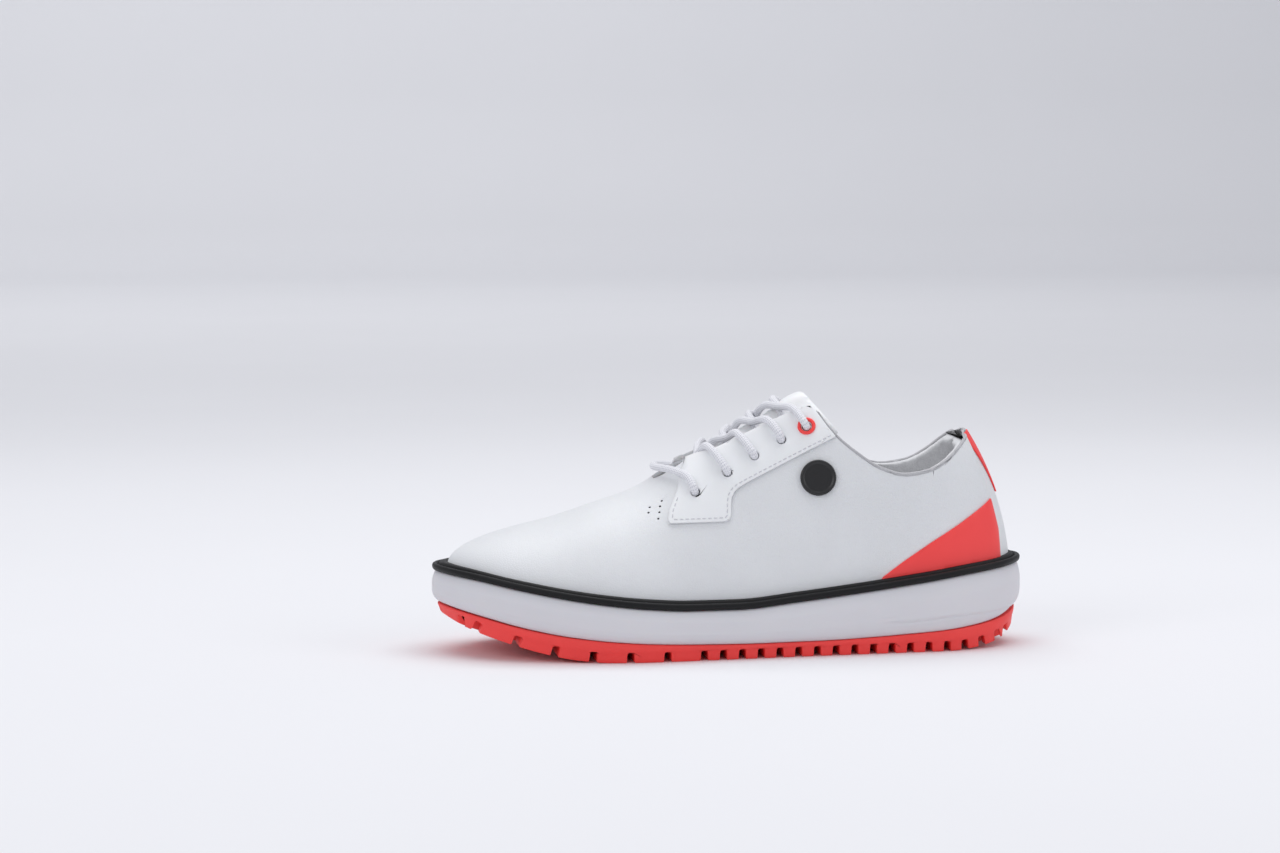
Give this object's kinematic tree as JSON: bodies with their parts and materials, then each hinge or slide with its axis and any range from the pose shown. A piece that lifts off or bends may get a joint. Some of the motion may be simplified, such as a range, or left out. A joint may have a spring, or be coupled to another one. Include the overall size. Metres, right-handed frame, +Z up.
{
  "type": "golf shoe",
  "caption": "Left spikeless golf shoe in white leather with a lugged coral outsole, a black double-bead rand, a foam midsole, a padded tongue and a round lace crossed through eyelets.",
  "frame": {"origin": "on the ground, in the middle of the shoe's length and width", "axes": "+X from toe to heel, -Y the outer (lateral) side of the foot, +Y the inner side, +Z up"},
  "size_m": [0.302, 0.1077, 0.1297],
  "materials": {
    "coral_rubber": "matte moulded rubber",
    "white_foam": "satin moulded foam",
    "black_rubber": "satin moulded rubber",
    "board": "needled fibre board",
    "grey_textile": "brushed knit",
    "white_leather": "fine-grained, satin",
    "smooth_leather": "smooth coated leather",
    "stiffener": "thermoplastic fibre sheet",
    "padding_foam": "open-cell foam",
    "grey_tape": "fine woven tape",
    "coral_leather": "smooth coated leather",
    "black_plastic": "satin",
    "coral_plastic": "satin",
    "white_cord": "round braid",
    "clear_tip": "glossy",
    "dark_textile": "fine knit"
  },
  "bodies": {
    "shoe": {"outsole": "coral_rubber", "midsole": "white_foam", "rand": "black_rubber", "lasting_board": "board", "sockliner": "grey_textile", "upper": "white_leather", "lining": "grey_textile", "toe_puff": "stiffener", "heel_counter": "stiffener", "collar_padding": "padding_foam", "collar_binding": "grey_tape", "eyestay_lateral": "smooth_leather", "eyestay_medial": "smooth_leather", "eyelet_facing_lateral": "stiffener", "eyelet_facing_medial": "stiffener", "heel_panel_lateral": "coral_leather", "heel_panel_medial": "coral_leather", "heel_tab": "coral_leather", "badge": "black_plastic", "grommet_lateral": "coral_plastic", "grommet_medial": "coral_plastic", "lace": "white_cord", "aglet_heel": "clear_tip", "aglet_toe": "clear_tip"},
    "tongue": {"tongue_face": "smooth_leather", "tongue_padding": "padding_foam", "tongue_lining": "dark_textile"}
  },
  "joints": [
    {"name": "tongue_fold", "type": "hinge", "parent": "shoe", "child": "tongue", "pos_m": [-0.046, 0, 0.07], "axis": [0, 1, 0], "range_deg": [0, 12], "stiffness_Nm_per_rad": 0.5, "springref_deg": -5.73}
  ]
}
